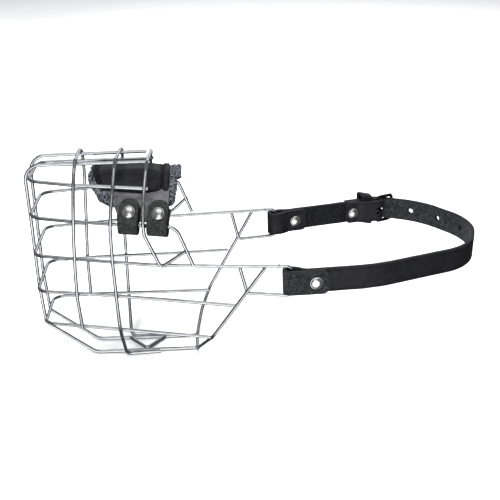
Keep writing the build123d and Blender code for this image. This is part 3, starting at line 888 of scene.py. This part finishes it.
# ---- weld beads where wires cross -------------------------------------------------------
def weld_beads():
    points = {n: np.array([v.co for v in o.data.vertices]) / MM for n, o in wires.items()}
    trees = {}
    for n, co in points.items():
        tree = KDTree(len(co))
        for k, p in enumerate(co):
            tree.insert(p, k)
        tree.balance()
        trees[n] = tree
    spots, names = [], sorted(points)
    for i, a in enumerate(names):
        for b in names[i + 1:]:
            near = [p for p in points[a] if trees[b].find(p)[2] < 0.9]
            while near:
                group = [p for p in near if np.linalg.norm(p - near[0]) < 5.0]
                near = [p for p in near if np.linalg.norm(p - near[0]) >= 5.0]
                spots.append(np.mean(group, 0))
    verts, faces, rings, around = [], [], 7, 12
    for number, spot in enumerate(spots):
        base = len(verts)
        for i in range(rings + 1):
            a = math.pi * i / rings
            for k in range(around):
                t = math.tau * k / around
                p = np.array([math.sin(a) * math.cos(t), math.sin(a) * math.sin(t), math.cos(a)])
                lump = 1.0 + 0.22 * noise.noise(Vector(p * 1.7) + Vector((number, 0, 0)))
                verts.append(spot + p * 1.55 * lump)
        for i in range(rings):
            for k in range(around):
                a, b = base + i * around + k, base + i * around + (k + 1) % around
                faces.append((a, a + around, b + around, b))
    return piece("weld_beads", verts, faces, "basket", [CHROME], None, 80.0)


weld_beads()

# ---- floor, light and camera --------------------------------------------------------------
floor_z = cad_box[0].z
mesh = bpy.data.meshes.new("floor")
mesh.from_pydata([(x, y, floor_z) for x, y in ((-6, -4), (6, -4), (6, 9), (-6, 9))], [], [(0, 1, 2, 3)])
floor = bpy.data.objects.new("floor", mesh)
bpy.context.scene.collection.objects.link(floor)
mesh.materials.append(studio_floor())
floor.visible_glossy = False       # the wires mirror the studio's panels, not the floor


def area_light(name, place, target, size, power):
    data = bpy.data.lights.new(name, "AREA")
    data.shape, data.size, data.size_y = "RECTANGLE", size[0], size[1]
    data.energy = power
    lamp = bpy.data.objects.new(name, data)
    bpy.context.scene.collection.objects.link(lamp)
    lamp.location = place
    lamp.rotation_mode = "QUATERNION"
    lamp.rotation_quaternion = (Vector(target) - Vector(place)).to_track_quat("-Z", "Y")
    lamp.visible_glossy = False      # the metal mirrors the studio world's soft panels instead


area_light("key", (-0.5, -0.9, 1.3), (0, 0, 0), (0.45, 0.45), 27)
area_light("overhead", (0.05, -0.1, 1.7), (0, 0, 0), (0.5, 0.5), 32)
area_light("back", (0.5, 1.6, 1.5), (0, 0.6, 0), (0.6, 0.6), 26)


def studio_world():
    """Pale panels in front, behind and overhead, with dark between them for the wires to mirror."""
    world = bpy.data.worlds.new("world")
    bpy.context.scene.world = world
    world.use_nodes = True
    tree = world.node_tree
    where = tree.nodes.new("ShaderNodeTexCoord").outputs["Generated"]

    def panel(direction, start, full, strength):
        dot = tree.nodes.new("ShaderNodeVectorMath")
        dot.operation = "DOT_PRODUCT"
        tree.links.new(where, dot.inputs[0])
        dot.inputs[1].default_value = Vector(direction).normalized()
        fade = tree.nodes.new("ShaderNodeMapRange")
        fade.interpolation_type = "SMOOTHSTEP"
        tree.links.new(dot.outputs["Value"], fade.inputs["Value"])
        for name, value in (("From Min", start), ("From Max", full), ("To Min", 0.0), ("To Max", strength)):
            fade.inputs[name].default_value = value
        return fade.outputs["Result"]

    panels = (((0, -0.1, 1), 0.80, 0.96, 0.85),          # overhead
              ((0, -1, -0.45), 0.74, 0.93, 1.6),         # table in front
              ((-0.1, -0.9, 0.42), 0.92, 0.985, 0.9),    # behind the camera
              ((0.1, 1, 0.25), 0.88, 0.97, 0.7),         # back wall
              ((0, 0, 1), -0.2, 0.5, 0.08),              # upper half of the room
              ((0, 0, -1), -1.2, -1.1, 0.09))            # everywhere
    total = None
    for spot in panels:
        light = panel(*spot)
        if total is None:
            total = light
        else:
            add = tree.nodes.new("ShaderNodeMath")
            tree.links.new(total, add.inputs[0])
            tree.links.new(light, add.inputs[1])
            total = add.outputs[0]
    background = tree.nodes["Background"]
    background.inputs["Color"].default_value = (0.97, 0.98, 1.0, 1.0)
    tree.links.new(total, background.inputs["Strength"])


studio_world()
bpy.context.scene.view_settings.view_transform = "Standard"

yaw, pitch, roll = 0.0763374, 0.4189847, 0.0011197
camera_data = bpy.data.cameras.new("camera")
camera_data.lens, camera_data.sensor_width = 57.6, 36.0
camera_data.clip_start, camera_data.clip_end = 0.05, 30.0
camera = bpy.data.objects.new("camera", camera_data)
bpy.context.scene.collection.objects.link(camera)
camera.location = (-0.069598, -0.574402, 0.256691)
ahead = Vector((math.sin(yaw) * math.cos(pitch), math.cos(yaw) * math.cos(pitch), -math.sin(pitch)))
camera.rotation_mode = "QUATERNION"
camera.rotation_quaternion = ahead.to_track_quat("-Z", "Y") @ Quaternion((0, 0, 1), roll)
bpy.context.scene.camera = camera
